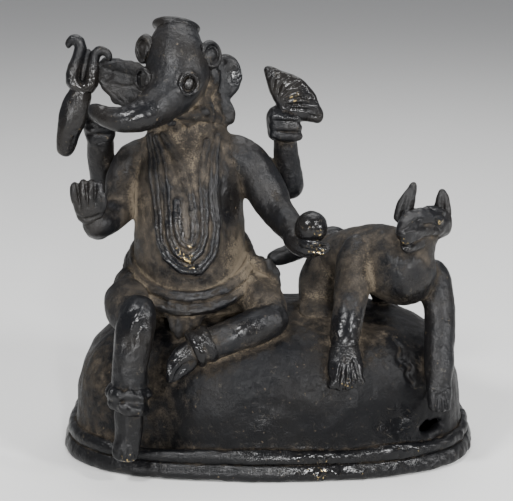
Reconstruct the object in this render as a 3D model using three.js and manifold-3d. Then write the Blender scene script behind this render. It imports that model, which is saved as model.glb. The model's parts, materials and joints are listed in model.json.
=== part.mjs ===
// A small lost-wax bronze of a seated, four-armed, elephant-headed figure beside its rat, both on a hollow
// domed base. The founder rolled each piece in wax, pressed the pieces together and cast them, so each
// rolled piece is one mesh here. Millimetres, +Z up, the figure faces -Y and +X is the viewer's right.
import * as THREE from 'three';
import { mergeVertices } from 'three/addons/utils/BufferGeometryUtils.js';
import Module from 'manifold-3d';

const wasm = await Module();
wasm.setup();

// Driving dimensions
const JOINT_GAP = 0.3; // clearance between two pieces that were pressed together
const SMOOTHING = 0.1; // facets flatter than this are merged
const BASE_WIDTH = 129; // over the rim
const BASE_DEPTH = 75; // over the rim
const DOME_HEIGHT = 42.5;
const DOME_WALL = 3;
const RIM_OVERHANG = 4.2; // how far the rim stands out past the dome
const SQUARENESS = 0.72; // power of the footprint's superellipse: 1 is an ellipse, less is squarer
const LOAF = 0.52; // the same power for the dome's profile
const VALLEY_X = -33; // the cleft in the dome's front that the hanging leg lies beside
const VALLEY = { width: 4.6, depth: 6.5 };
const VALLEY_INSIDE = { width: 9, depth: 8.5 }; // wider, so that the shell isn't thin beside the cleft
const BALL_RADIUS = 4.7;
const CROWN_RADIUS = 7.4;

// How finely pieces are faceted
const FINE = { sides: 18, rings: 8, cap: 2 };
const MEDIUM = { sides: 9, rings: 3, cap: 2 };
const SMALL = { sides: 7, rings: 3, cap: 1 };
const THIN = { sides: 5, rings: 2, cap: 1 };

const FRONT = new THREE.Vector3(0, -1, 0);
const UP = new THREE.Vector3(0, 0, 1);
const vec = (p) => new THREE.Vector3(...p);

// ---- solids and geometries ------------------------------------------------------------------------

function solidOf(geometry) {
  const bare = geometry.clone();
  bare.deleteAttribute('normal');
  bare.deleteAttribute('uv');
  const merged = mergeVertices(bare, 1e-4);
  const made = new wasm.Manifold(new wasm.Mesh({
    numProp: 3,
    vertProperties: merged.attributes.position.array,
    triVerts: new Uint32Array(merged.index.array),
  }));
  return made;
}

function geometryOf(solid) {
  const mesh = solid.getMesh();
  const geometry = new THREE.BufferGeometry();
  geometry.setAttribute('position', new THREE.BufferAttribute(mesh.vertProperties, 3));
  geometry.setIndex(new THREE.BufferAttribute(mesh.triVerts, 1));
  geometry.computeVertexNormals();
  return geometry;
}

// The largest of the bodies that a cut leaves.
function largest(solid) {
  return solid.decompose().reduce((best, body) => (body.volume() > best.volume() ? body : best));
}

const union = (solids) => solids.reduce((sum, solid) => sum.add(solid));

// Moves each vertex of a geometry to where place(x, y, z) says.
function remap(geometry, place) {
  const position = geometry.attributes.position;
  for (let i = 0; i < position.count; i++) {
    const to = place(position.getX(i), position.getY(i), position.getZ(i));
    position.setXYZ(i, to.x, to.y, to.z);
  }
  return geometry;
}

// A smooth curve through the points, which gives the place, the direction and the two half-widths.
function spineOf(points, girths) {
  const line = new THREE.CatmullRomCurve3(points.map(vec), false, 'centripetal');
  const girthAt = (girth, i) => new THREE.Vector3(...(Array.isArray(girth) ? girth : [girth, girth]), i);
  const wide = new THREE.CatmullRomCurve3(girths.map(girthAt), false, 'centripetal');
  return { at: (t) => line.getPoint(t), along: (t) => line.getTangent(t), girth: (t) => wide.getPoint(t) };
}

// A rolled piece: a capsule laid along the points, with a half-width at each, or [across, towards face].
// tips are the lengths of the rounded ends, and cup bends a flat piece's two edges towards its face.
function roll(points, girths, { sides, rings, cap, face = FRONT, tips, cup = 0 } = {}, grow = 0) {
  const spine = spineOf(points, girths);
  const capsule = new THREE.CapsuleGeometry(1, 1, cap, sides, rings);
  return solidOf(remap(capsule, (x, y, z) => {
    const t = THREE.MathUtils.clamp(y + 0.5, 0, 1);
    const past = y - THREE.MathUtils.clamp(y, -0.5, 0.5);
    const girth = spine.girth(t);
    const along = spine.along(t);
    const across = along.clone().cross(face).normalize();
    const facing = across.clone().cross(along);
    const tip = tips ? tips[past > 0 ? 1 : 0] : Math.min(girth.x, girth.y);
    const u = x * (girth.x + grow);
    return spine.at(t)
      .addScaledVector(along, past * (tip + grow))
      .addScaledVector(across, u)
      .addScaledVector(facing, z * (girth.y + grow) + cup * u * u);
  }));
}

// A closed coil round an ellipse, or a superellipse where power is under 1.
function coil({ centre, axis, radii, tube, power = 1, sides = 6, steps = 16, turn = UP }, grow = 0) {
  const torus = new THREE.TorusGeometry(2, 1, sides, steps);
  const normal = axis.clone().normalize();
  const across = turn.clone().cross(normal).lengthSq() > 1e-6
    ? turn.clone().cross(normal).normalize() : new THREE.Vector3(1, 0, 0);
  const other = normal.clone().cross(across);
  const bent = (c) => Math.sign(c) * Math.abs(c) ** power;
  return solidOf(remap(torus, (x, y, z) => {
    const angle = Math.atan2(y, x);
    const out = Math.hypot(x, y) - 2;
    const reach = out * (tube[0] + grow);
    return centre.clone()
      .addScaledVector(across, bent(Math.cos(angle)) * radii[0] + Math.cos(angle) * reach)
      .addScaledVector(other, bent(Math.sin(angle)) * radii[1] + Math.sin(angle) * reach)
      .addScaledVector(normal, z * (tube[1] + grow));
  }));
}

function ball(centre, radius, detail, grow = 0) {
  const sphere = new THREE.SphereGeometry(radius + grow, detail, Math.round(detail * 0.7));
  return solidOf(sphere.translate(...centre));
}

function slab(low, high) {
  const size = high.map((h, i) => h - low[i]);
  const box = new THREE.BoxGeometry(...size);
  return solidOf(box.translate(...low.map((l, i) => l + size[i] / 2)));
}

const FAR = 200;
const belowFloor = slab([-FAR, -FAR, -FAR], [FAR, FAR, 0]);

// ---- the base --------------------------------------------------------------------------------------

// A loaf-shaped mound on a superellipse, with a cleft down its front.
function mound([width, depth, height], valley, sides, rings) {
  const bent = (c, power) => Math.sign(c) * Math.abs(c) ** power;
  const sphere = new THREE.SphereGeometry(1, sides, rings * 2);
  return solidOf(remap(sphere, (x, y, z) => {
    const level = Math.hypot(x, z);
    const angle = Math.atan2(-z, x);
    const inset = bent(level, LOAF);
    const px = inset * (width / 2) * bent(Math.cos(angle), SQUARENESS);
    const py = inset * (depth / 2) * bent(Math.sin(angle), SQUARENESS);
    const cleft = Math.exp(-(((px - VALLEY_X) / valley.width) ** 2));
    const frontness = THREE.MathUtils.clamp(-py / (depth / 2), 0, 1);
    return new THREE.Vector3(px, py + valley.depth * cleft * frontness ** 2, height * bent(y, LOAF));
  }));
}

const DOME_WIDTH = BASE_WIDTH - 2 * RIM_OVERHANG;
const DOME_DEPTH = BASE_DEPTH - 2 * RIM_OVERHANG;

function baseDome(grow) {
  const outer = mound([DOME_WIDTH + 2 * grow, DOME_DEPTH + 2 * grow, DOME_HEIGHT + grow], VALLEY, 48, 7);
  if (grow) return outer; // used as a cutter, the mound is solid
  const inner = mound([DOME_WIDTH - 2 * DOME_WALL, DOME_DEPTH - 2 * DOME_WALL, DOME_HEIGHT - DOME_WALL],
    VALLEY_INSIDE, 36, 5);
  const castingHole = roll([[50, -40, 12.6], [48.6, -20, 12.6]], [[4, 1.9], [4, 1.9]],
    { ...SMALL, face: UP });
  return outer.subtract(inner).subtract(castingHole).subtract(belowFloor);
}

function rim(radial, upright, level, inset) {
  return (grow) => coil({
    centre: new THREE.Vector3(0, 0, level),
    axis: UP,
    turn: new THREE.Vector3(0, -1, 0),
    radii: [BASE_WIDTH / 2 - radial - inset, BASE_DEPTH / 2 - radial - inset],
    tube: [radial, upright],
    power: SQUARENESS,
    steps: 32,
    sides: 6,
  }, grow).subtract(belowFloor);
}

// ---- the seated figure -----------------------------------------------------------------------------

const torsoSpine = [[-23.4, -2.5, 50.5], [-23.8, -3.6, 57], [-24.2, -3.4, 66], [-24.4, -2.4, 76],
  [-24.4, -0.2, 87], [-25, 1, 95], [-26, 1, 101.5]];
const torsoGirth = [[13.5, 15], [16.6, 17], [16.9, 17.2], [16.5, 16.2], [16, 13.6], [13.6, 10.4], [9.6, 8]];
const torso = (grow) => roll(torsoSpine, torsoGirth, { ...FINE, tips: [3.5, 2.5] }, grow);

// The torso's front surface at a given place across and up, for what lies on the belly.
const bodyLine = spineOf(torsoSpine, torsoGirth);
function bellyFront(x, z) {
  let low = 0;
  let high = 1;
  for (let i = 0; i < 20; i++) {
    const middle = (low + high) / 2;
    if (bodyLine.at(middle).z < z) low = middle;
    else high = middle;
  }
  const centre = bodyLine.at(low);
  const girth = bodyLine.girth(low);
  const share = THREE.MathUtils.clamp((x - centre.x) / girth.x, -0.98, 0.98);
  return centre.y - girth.y * Math.sqrt(1 - share * share);
}

// A cord of the necklace lies on the belly through these places across and up.
function cord(places, radius, lift) {
  const points = places.map(([x, z]) => [x, bellyFront(x, z) - lift, z]);
  return (grow) => roll(points, points.map(() => [radius, radius * 0.9]),
    { sides: 5, rings: 12, cap: 1 }, grow);
}

const hips = (grow) => roll([[-35, 1, 49.5], [-23.5, 0, 49], [-12, 1, 49.5]], [[12, 8], [15.5, 8], [12, 8]],
  { ...MEDIUM, sides: 12, face: UP, tips: [6, 6] }, grow);

function waistCoil(centre, radii, tube) {
  return (grow) => coil({
    centre: vec(centre), axis: new THREE.Vector3(0, -0.44, 1), turn: FRONT, radii, tube, steps: 20, sides: 5,
  }, grow);
}

// ---- head ------------------------------------------------------------------------------------------

const head = (grow) => roll(
  [[-27.7, 1.8, 127.6], [-27.5, -1.2, 123.8], [-26.8, -5, 118.6], [-28, -9.5, 113.8], [-31, -14.6, 110.2],
    [-35.4, -18.8, 107.6], [-41, -20.6, 106.2], [-46.6, -18.8, 106.4], [-50.8, -15.4, 107.7]],
  [[6.9, 6.6], [8.4, 8.4], [9.9, 9.4], [8.8, 8.2], [6.4, 6.4], [5, 5], [3.9, 3.9], [3, 3], [2.2, 2.2]],
  { sides: 12, rings: 14, cap: 2, face: new THREE.Vector3(-0.3, -0.4, 1), tips: [1.5, 1.6] }, grow);

function crownDisc(grow) {
  const profile = [[0, -1.3], [6.6, -1.3], [CROWN_RADIUS - 0.3, -0.8], [CROWN_RADIUS, 0.1],
    [CROWN_RADIUS - 0.5, 0.9], [5.6, 1.1], [0, 0.8]];
  const points = profile.map(([r, z]) => new THREE.Vector2(
    r ? r + grow : 0, z + Math.sign(z) * grow));
  const disc = new THREE.LatheGeometry(points, 16);
  const lean = new THREE.Quaternion().setFromUnitVectors(
    new THREE.Vector3(0, 1, 0), new THREE.Vector3(0.11, 0.4, 0.91).normalize());
  return solidOf(disc.applyQuaternion(lean).translate(-27.6, 3.2, 129.8));
}

const earSpine = {
  right: [[-35.6, 1.4, 111], [-39.4, 2, 112.2], [-43, 2.4, 113.8], [-46.4, 2.2, 115.4], [-49, 2, 116.6],
    [-51, 1.6, 117]],
  left: [[-14.6, 2, 121], [-13.6, 2, 118.2], [-13.4, 2, 115.4], [-15, 2, 112.4], [-16.4, 1.8, 109.4],
    [-16, 1.4, 106.6], [-14.2, 1, 104], [-11.8, 0.8, 101.9]],
};
const earGirth = {
  right: [[7, 1.5], [7.8, 1.5], [7.6, 1.5], [6.4, 1.4], [5, 1.4], [3.2, 1.2]],
  left: [[3, 1.2], [5.6, 1.5], [6.4, 1.5], [5.8, 1.5], [5, 1.5], [4.6, 1.5], [4.4, 1.4], [2.6, 1.2]],
};
const ear = (side) => (grow) => roll(earSpine[side], earGirth[side],
  { sides: 8, rings: 8, cap: 1, cup: 0.035, tips: [1.4, 1.4] }, grow);

// A ball with a coil round it: an eye in its lid, or a boss in its cup.
const cupped = (centre, axis, radius, radii, tube) => (grow) => ball(centre, radius, 8, grow).add(coil(
  { centre: vec(centre), axis: vec(axis), radii, tube, sides: 5, steps: 11 }, grow));

// ---- limbs -----------------------------------------------------------------------------------------

// A limb of several straight or bent rolls, each [points, girths], joined where they meet.
const limb = (rolls, detail = MEDIUM) => (grow) => union(
  rolls.map(([points, girths, face = FRONT]) => roll(points, girths, { ...detail, face }, grow)));

// The raised hand: a palm with four fingers pointing up and a thumb, palm to the front.
function raisedHand(grow) {
  const palm = roll([[-52.2, -20.6, 76.8], [-52.5, -21.6, 81], [-52.6, -21.8, 85]],
    [[3.8, 2.2], [4.9, 2.1], [5, 1.8]], { ...MEDIUM }, grow);
  const fingers = [-3.9, -1.3, 1.3, 3.9].map((across, i) => roll(
    [[-52.6 + across * 0.9, -22, 82], [-52.7 + across, -22.3, 85.6],
      [-52.6 + across * 0.94, -21.7, 88.4 - 0.7 * Math.abs(i - 1.5)]], [1.4, 1.45, 1.3], { ...THIN }, grow));
  const thumb = roll([[-49, -21.2, 78.5], [-47.7, -22.6, 81.4], [-47.9, -23, 85]], [1.5, 1.4, 1],
    { ...THIN }, grow);
  return union([palm, ...fingers, thumb]);
}

// A closed hand: three or four rolled fingers one above another, on a pad.
function fist(pad, from, to, heights, radius) {
  return (grow) => union([
    roll(...pad, { ...MEDIUM }, grow),
    ...heights.map((rise) => roll([[from[0], from[1], from[2] + rise], [(from[0] + to[0]) / 2,
      Math.min(from[1], to[1]) - 1, (from[2] + to[2]) / 2 + rise], [to[0], to[1], to[2] + rise]],
    [radius, radius * 1.1, radius * 0.9], { ...THIN }, grow)),
  ]);
}

// The open hand: a cupped palm with fingers forward under the ball and a thumb along its side.
const cuppedHand = (grow) => union([
  roll([[7.6, -20.4, 70.6], [10.6, -23.6, 69], [13.6, -26, 68.9]], [[4, 3.4], [4.6, 3.2], [3.8, 2.4]],
    { ...MEDIUM, face: UP }, grow),
  ...[-2.1, 0, 2.1].map((across) => roll(
    [[12, -25 + across, 68.6], [15.2, -27 + across, 69], [17.4, -27.6 + across * 0.8, 70]],
    [1.4, 1.4, 1.1], { ...THIN, face: UP }, grow)),
  roll([[7, -23.6, 71], [10.4, -27.6, 71.4], [14.8, -29.4, 71.6]], [1.5, 1.4, 1],
    { ...THIN, face: UP }, grow),
]);

// An animal's paw: a flat pad with rounded toes fanned at its end.
function paw(points, girths, toes, spread, radius) {
  const end = vec(points.at(-1));
  const along = end.clone().sub(vec(points.at(-2))).normalize();
  const across = along.clone().cross(FRONT).normalize();
  return (grow) => union([
    roll(points, girths, { ...MEDIUM }, grow),
    ...Array.from({ length: toes }, (_, i) => {
      const side = (i / (toes - 1) - 0.5) * 2;
      const root = end.clone().addScaledVector(along, -2.5).addScaledVector(across, side * spread * 0.8);
      const tip = end.clone().addScaledVector(along, 1.4 - side * side)
        .addScaledVector(across, side * spread);
      return roll([root.toArray(), tip.toArray()], [radius, radius * 0.85], { ...THIN }, grow);
    }),
  ]);
}

const bangle = (centre, axis, radii, tube) => (grow) => coil(
  { centre: vec(centre), axis: vec(axis), radii, tube, sides: 5, steps: 12 }, grow);

// ---- every piece: name, colour key and shape. A piece is cut back from those listed before it ------

const forkPath = [[-59.3, -3, 124.6], [-58.6, -3, 126.5], [-56.8, -3, 126.9], [-55.7, -3, 125],
  [-56.6, -3.2, 121.4], [-58.2, -3.4, 117.1], [-57.9, -3.6, 113.4], [-55.4, -3.6, 111.8], [-53, -3.4, 113.4],
  [-52.3, -3.2, 117.1], [-51.9, -3, 120.6], [-51, -3, 122.8], [-49.2, -3, 123.6], [-47.6, -3, 122.7],
  [-47, -3, 121]];
const forkGirth = [0.9, 1.3, 1.6, 1.8, 1.95, 2.1, 2.2, 2.2, 2.1, 1.9, 1.6, 1.4, 1.3, 1.2, 0.9];

const pieces = [
  ['torso', 'skin', torso],
  ['head_and_trunk', 'skin', head],
  ['neck', 'earthy', (g) => roll([[-26.2, 0.5, 103], [-27, -1.5, 110.5]], [[9.4, 8.4], [8.4, 7.4]],
    { ...MEDIUM, sides: 12, tips: [1, 1] }, g)],
  ['base_dome', 'earthy', baseDome],
  ['base_rim_lower', 'worn', rim(3.1, 3.2, 2, 0)],
  ['base_rim_upper', 'worn', rim(2, 2, 6.9, 1.2)],
  ['hips', 'earthy', hips],
  ['loincloth', 'earthy', (g) => roll([[-25.4, -15.4, 49], [-25.6, -18.6, 45.6], [-26.4, -20.4, 42.2]],
    [[8.6, 3.4], [6.4, 3], [3, 2.2]], { ...SMALL }, g)],
  ['rat_body', 'skin', limb([
    [[[21.5, 9.5, 54.5], [29, 1, 58.5], [37, -8, 59.3], [41.3, -13, 58.6]],
      [[8.4, 8.6], [9.6, 10.2], [10, 11.6], [9.6, 11.4]], UP],
    [[[41.5, -12, 62], [44.8, -14.5, 70.5]], [[8.4, 8], [6.4, 6.2]]]],
  { sides: 12, rings: 5, cap: 2 })],
  ['rat_head', 'skin', limb([
    [[[50, -12.6, 72.8], [44.4, -17.8, 74.4]], [5.4, 5.2]],
    [[[45.4, -17.8, 75], [41.6, -22.6, 74.6], [39.4, -25.6, 74]], [[4.8, 4.6], [4.6, 3.6], [3.8, 2.6]]],
    [[[45, -17.6, 72], [41.6, -22, 70.8], [39.6, -24.6, 70.6]], [[4.6, 3], [4.2, 2.2], [3.4, 1.6]]]])],

  // head
  ['crown_disc', 'worn', crownDisc],
  ['lower_jaw', 'earthy', (g) => roll([[-27.5, -13.4, 104.6], [-31.6, -15, 105.2]], [[2.4, 1.8], [1.8, 1.4]],
    { ...SMALL }, g)],
  ['temple_boss_right', 'skin',
    cupped([-36.7, -3.8, 124], [-0.72, -0.66, 0.2], 1.9, [2.5, 3.4], [1.3, 1.7])],
  ['temple_boss_left', 'skin', cupped([-17, -6.2, 122.8], [0.62, -0.76, 0.2], 2, [2.9, 3.3], [1.2, 1.6])],
  ['eye_right', 'worn', cupped([-36.6, -12.2, 116.4], [-0.75, -0.66, 0.1], 1.7, [2.6, 3], [0.8, 1.2])],
  ['eye_left', 'worn', cupped([-23.1, -16, 115.6], [0.46, -0.88, 0.1], 1.7, [2.7, 3], [0.8, 1.2])],
  ['ear_right', 'skin', ear('right')],
  ['ear_left', 'skin', ear('left')],

  // ornaments and cloth
  ['collar', 'earthy', (g) => coil({ centre: vec([-26.2, -1, 102.6]), axis: new THREE.Vector3(0, 0.35, 1),
    turn: FRONT, radii: [10.4, 9.4], tube: [1.5, 1.5], sides: 5 }, g)],
  ['necklace_outer', 'worn', cord([[-35.6, 98], [-34.2, 92], [-33.3, 84.8], [-32.6, 78], [-31.8, 70],
    [-29.8, 65], [-25.4, 61.6], [-20.2, 61.2], [-16.6, 65.6], [-15.6, 73.7], [-16.8, 83], [-16.6, 92],
    [-15.6, 98]], 1.35, 0.7)],
  ['necklace_middle', 'worn', cord([[-33.6, 98], [-31, 89.5], [-29.7, 81], [-29.3, 72.5], [-27.2, 67],
    [-23.3, 64.6], [-20, 67.4], [-18.8, 74], [-19.7, 83], [-19.9, 90], [-18.4, 97]], 1.3, 0.6)],
  ['necklace_inner', 'worn', cord([[-31.4, 99], [-27.2, 93.6], [-24.4, 88.6], [-22.6, 81], [-21.7, 74.4],
    [-21.9, 70], [-23.6, 68.4], [-25.8, 70], [-26.7, 75], [-27, 81]], 1.2, 0.6)],
  ['waist_coil_upper', 'worn', waistCoil([-23.8, -3, 60.2], [17.6, 19.2], [2.3, 2.2])],
  ['waist_coil_lower', 'worn', waistCoil([-24, -3, 57.2], [18.9, 20.2], [2.4, 2.2])],

  // legs
  ['left_thigh', 'earthy', limb([[[[-10, -3, 52], [-4.4, -9, 50.8], [0.4, -16, 47.2]], [8, 7, 5.8]]])],
  ['right_thigh', 'earthy', limb([
    [[[-37, -4, 52], [-41.8, -13, 51.2], [-41.6, -23.4, 48.8]], [8, 7.5, 6.6]]])],
  ['left_shin', 'skin', limb([[[[1, -20.4, 45.4], [-6, -24.4, 43.6], [-14, -27, 41.2],
    [-18, -28, 40.2]], [5.6, 5.4, 4.9, 4.4], UP]])],
  ['right_shin', 'skin', limb([[[[-38.2, -28.6, 50.4], [-39.4, -31, 43], [-40.4, -32.8, 35.6],
    [-40.8, -34, 27]], [5.5, 5.8, 5.3, 4.7]]])],
  ['left_anklet', 'worn', (g) => union([[-18.2, -28, 40.4], [-21.2, -28.9, 39.3]].map(
    (centre) => bangle(centre, [-0.9, -0.27, -0.34], [4.7, 4.7], [1.2, 1.8])(g)))],
  ['right_anklet', 'worn', (g) => union([[-41, -34.2, 27.4], [-41.3, -34.8, 24.2]].map(
    (centre, i) => bangle(centre, [0.04 + 0.16 * i, 0.16, 1], [5.2, 4.8], [1.6, 2])(g)))],
  ['left_foot', 'skin', limb([[[[-20.6, -28.6, 39.4], [-24, -30.2, 37], [-26.6, -31.6, 34.4],
    [-28.8, -33, 31.4]], [[3.8, 3.6], [4.2, 3.4], [3.7, 2.6], [1.4, 1.2]]]])],
  ['right_foot', 'worn', limb([[[[-40.9, -34.8, 24], [-41.2, -36.4, 16], [-42, -38.4, 9.6]],
    [[4.2, 3.6], [4.6, 2.8], [4, 1.8]]]])],
  ['sash_knot', 'earthy', (g) => roll([[-5.4, -7, 60.4], [-1.4, -8.6, 58.4], [1.4, -10, 55.8],
    [2.6, -11, 52.4]], [[2.4, 1.4], [3, 1.7], [2.6, 1.5], [1, 0.9]], { ...SMALL }, g)],

  // arms
  ['front_right_arm', 'skin', limb([
    [[[-35.6, 1, 91], [-41.4, -0.6, 89.2], [-44.6, -3, 84], [-45.2, -5, 77.2]], [5.9, 5.5, 5, 4.8]],
    [[[-44.8, -5, 76.6], [-47.8, -11.8, 74.4], [-50.6, -18, 74.4]], [5, 4.7, 4.4], UP]])],
  ['front_left_arm', 'skin', limb([
    [[[-11.4, 0.6, 91], [-5.6, -0.8, 88.4], [-1.6, -3, 82.4], [1.6, -5.6, 77]], [6.8, 6.6, 6.3, 5.6]],
    [[[1.8, -6, 76.6], [5, -12.6, 73.6], [7.4, -18, 71.8]], [5.4, 4.8, 4], UP]])],
  ['rear_right_arm', 'skin', limb([
    [[[-37, 8, 91], [-45, 9.6, 84.4], [-50, 8.8, 80]], [4.6, 4.4, 4.4]],
    [[[-50.4, 8.4, 79.8], [-51.6, 6, 87.6], [-51.4, 3.6, 95]], [4.4, 4.2, 3.9]]])],
  ['rear_left_arm', 'skin', limb([
    [[[-9, 8.4, 90], [-1, 10, 84], [5.6, 9.4, 80]], [4.8, 4.6, 4.6]],
    [[[6.4, 9, 79.6], [5.8, 7.6, 87], [4.9, 6.2, 94.4]], [4.6, 4.2, 3.8]]])],
  ['modak_ball', 'worn', (g) => ball([12.5, -24, 74.9], BALL_RADIUS, 12, g)],
  ['front_right_hand', 'skin', raisedHand],
  ['front_left_hand', 'worn', cuppedHand],
  ['goad_shaft', 'worn', limb([[[[-56, -3.6, 111], [-58.2, -3.8, 105], [-60.2, -3.4, 98.6],
    [-61.6, -2.8, 93.4]], [[3.4, 1.9], [4.3, 2.2], [3.3, 2.3], [2.3, 1.8]]]])],
  ['goad_fork', 'worn', (g) => roll(forkPath, forkGirth, { sides: 6, rings: 22, cap: 1 }, g)],
  ['goad_tine', 'earthy', (g) => roll([[-55.2, -3.2, 114.6], [-54.7, -3, 119], [-53.6, -3, 123.2]],
    [0.8, 0.9, 1], { ...THIN }, g)],
  ['rear_right_hand', 'skin', fist([[[-51.6, 2.8, 96.6], [-51.8, 1.6, 100.4]], [[4.2, 3.6], [4.4, 3.2]]],
    [-56.4, -3.4, 98.2], [-48, -2.4, 98.2], [-1.6, 1.2, 3.6], 1.4)],
  ['axe_blade', 'worn', (g) => roll([[-0.4, 4, 116.8], [3, 3.8, 113.2], [7, 3.6, 109], [11.6, 3.8, 105],
    [15.4, 4, 101.8]], [[1.4, 1.2], [4, 2.1], [5.9, 2.6], [4.8, 2.2], [1.8, 1.3]],
  { sides: 12, rings: 8, cap: 2 }, g)],
  ['rear_left_hand', 'skin', fist([[[4.4, 5.4, 96], [4, 4.4, 103]], [[4.9, 3.8], [5.2, 3.4]]],
    [1, 1.8, 98.2], [9.4, 2.8, 97.6], [-1.2, 1.5, 4.2], 1.7)],
  ['bangle_front_right', 'worn', bangle([-50.6, -15.8, 74.5], [-0.4, -0.9, 0.05], [4.1, 4.1], [0.9, 1])],

  // rat
  ['rat_brow', 'worn', (g) => roll([[38.8, -20.6, 75.4], [41.6, -19.6, 78.2], [45.8, -18.2, 79.4],
    [50.2, -15.8, 78], [52.8, -14, 75.4]], [0.9, 1.1, 1.2, 1.1, 0.9], { sides: 7, rings: 8, cap: 1 }, g)],
  ['rat_ear_right', 'skin', limb([[[[39.6, -14.8, 74.4], [40.6, -14.4, 78.4], [42, -13.6, 82.4],
    [43.2, -13, 85.6]], [[3, 1.6], [3.2, 1.5], [2.4, 1.3], [1.1, 0.9]]]], SMALL)],
  ['rat_ear_left', 'skin', limb([[[[51.4, -12.6, 73.6], [52, -12, 78.6], [51.7, -11.4, 83]],
    [[3.6, 1.9], [3, 1.6], [1.1, 0.9]]]], SMALL)],
  ['rat_eye_right', 'worn', (g) => ball([40.4, -20.8, 78.2], 1.5, 7, g)],
  ['rat_eye_left', 'worn', (g) => ball([49.8, -19.2, 76], 1.6, 7, g)],
  ['rat_front_right_leg', 'skin', limb([[[[27.4, -7.4, 62], [25.6, -13, 55.4], [24, -19.4, 48.2],
    [22.4, -26, 41]], [6.4, 5.8, 5, 4.4]]])],
  ['rat_front_left_leg', 'skin', limb([[[[50, -8.4, 55.6], [51.8, -14.6, 47], [51.2, -21, 37.4],
    [50.4, -27, 28]], [5.4, 5, 4.6, 4.2]]])],
  ['rat_rear_right_leg', 'skin', limb([[[[22, 7.6, 56.4], [17.2, 6, 52.4], [15.4, 1.6, 46.6]],
    [7.2, 6.6, 5.8]]])],
  ['rat_rear_left_leg', 'skin', limb([[[[30, 12.4, 56.4], [35.4, 13.4, 51.4], [36.6, 10, 46]], [7, 6, 5]]])],
  ['rat_front_right_paw', 'worn', paw([[22.4, -28.4, 38.6], [22.6, -31.6, 34.4], [23, -34, 30.4]],
    [[4.6, 2.8], [5.6, 2.4], [5, 1.7]], 5, 4.6, 1.25)],
  ['rat_front_left_paw', 'worn', paw([[50.4, -28.6, 26.4], [50.2, -31.2, 22]],
    [[4.2, 2.4], [3.8, 1.8]], 4, 3, 1.1)],
  ['rat_rear_right_paw', 'earthy', limb([
    [[[15, -1, 43.2], [14.8, -7, 42.2]], [[5.2, 4.2], [4.9, 3.9]], UP]])],
  ['rat_tail', 'skin', (g) => roll([[24.6, 17, 58.6], [21.6, 18, 61.4], [15.6, 14.4, 60.2], [8, 9.4, 58],
    [1.4, 5.4, 56.8]], [[2, 2], [2.4, 2.4], [2.6, 2.4], [3, 2.3], [2.2, 1.8]],
  { sides: 8, rings: 10, cap: 2 }, g)],
];

// ---- the assembly ----------------------------------------------------------------------------------

const COLOURS = {
  skin: { color: 0x2c2b2c, roughness: 0.48, metalness: 0.75 },
  worn: { color: 0x262524, roughness: 0.36, metalness: 0.85 },
  earthy: { color: 0x4a4035, roughness: 0.75, metalness: 0.35 },
};
const materials = Object.fromEntries(Object.entries(COLOURS).map(
  ([key, look]) => [key, new THREE.MeshStandardMaterial(look)]));

function boxesMeet(a, b) {
  return [0, 1, 2].every((i) => a.min[i] < b.max[i] && b.min[i] < a.max[i]);
}

const group = new THREE.Group();
const cutters = [];
for (const [name, look, shape] of pieces) {
  const cutter = shape(JOINT_GAP);
  const bounds = cutter.boundingBox();
  const cutBack = cutters.filter((other) => boxesMeet(other.bounds, bounds)).reduce(
    (solid, other) => solid.subtract(other.cutter), shape(0));
  const mesh = new THREE.Mesh(geometryOf(largest(cutBack.simplify(SMOOTHING))), materials[look]);
  mesh.name = name;
  group.add(mesh);
  cutters.push({ cutter, bounds });
}

// The origin is under the middle of the whole object's box, on the surface it stands on.
const box = new THREE.Box3().setFromObject(group);
const middle = box.getCenter(new THREE.Vector3());
group.position.set(-middle.x, -middle.y, -box.min.z);

export default group;
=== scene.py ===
"""Looks for a small lost-wax bronze: a seated elephant-headed figure and its rat, on a hollow domed base.

The real thing was rolled, pressed together and tooled in wax, then cast in one go. So the CAD solids become
distance fields on one lattice, and the fields are melted together and tooled there. Each piece is cut out of
the result along the joint that its CAD solid has with its neighbours. Fields are in millimetres, and Blender
objects in metres.
"""

import json
import math

import bpy
import numpy as np
import openvdb as vdb
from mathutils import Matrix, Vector


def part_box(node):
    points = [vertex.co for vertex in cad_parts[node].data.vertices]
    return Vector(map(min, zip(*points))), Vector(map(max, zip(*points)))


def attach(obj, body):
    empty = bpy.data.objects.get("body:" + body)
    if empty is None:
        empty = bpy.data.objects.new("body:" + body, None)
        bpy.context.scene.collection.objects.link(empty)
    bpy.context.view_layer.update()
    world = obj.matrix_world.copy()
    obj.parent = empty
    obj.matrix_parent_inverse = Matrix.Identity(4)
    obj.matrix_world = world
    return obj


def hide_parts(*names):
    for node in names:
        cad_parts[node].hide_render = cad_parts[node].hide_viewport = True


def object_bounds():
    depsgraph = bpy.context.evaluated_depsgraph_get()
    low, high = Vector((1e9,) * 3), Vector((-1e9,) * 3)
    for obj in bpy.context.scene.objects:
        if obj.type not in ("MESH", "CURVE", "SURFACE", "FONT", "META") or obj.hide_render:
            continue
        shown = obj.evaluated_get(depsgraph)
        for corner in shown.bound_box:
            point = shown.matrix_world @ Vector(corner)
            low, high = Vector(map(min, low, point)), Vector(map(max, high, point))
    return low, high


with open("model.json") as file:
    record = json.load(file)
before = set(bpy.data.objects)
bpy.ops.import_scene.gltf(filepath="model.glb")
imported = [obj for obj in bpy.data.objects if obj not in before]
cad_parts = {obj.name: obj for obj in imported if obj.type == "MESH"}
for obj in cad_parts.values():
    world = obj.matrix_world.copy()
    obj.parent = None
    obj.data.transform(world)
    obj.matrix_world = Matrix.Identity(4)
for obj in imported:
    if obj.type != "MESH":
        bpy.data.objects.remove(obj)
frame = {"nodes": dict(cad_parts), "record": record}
CAD_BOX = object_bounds()

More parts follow.
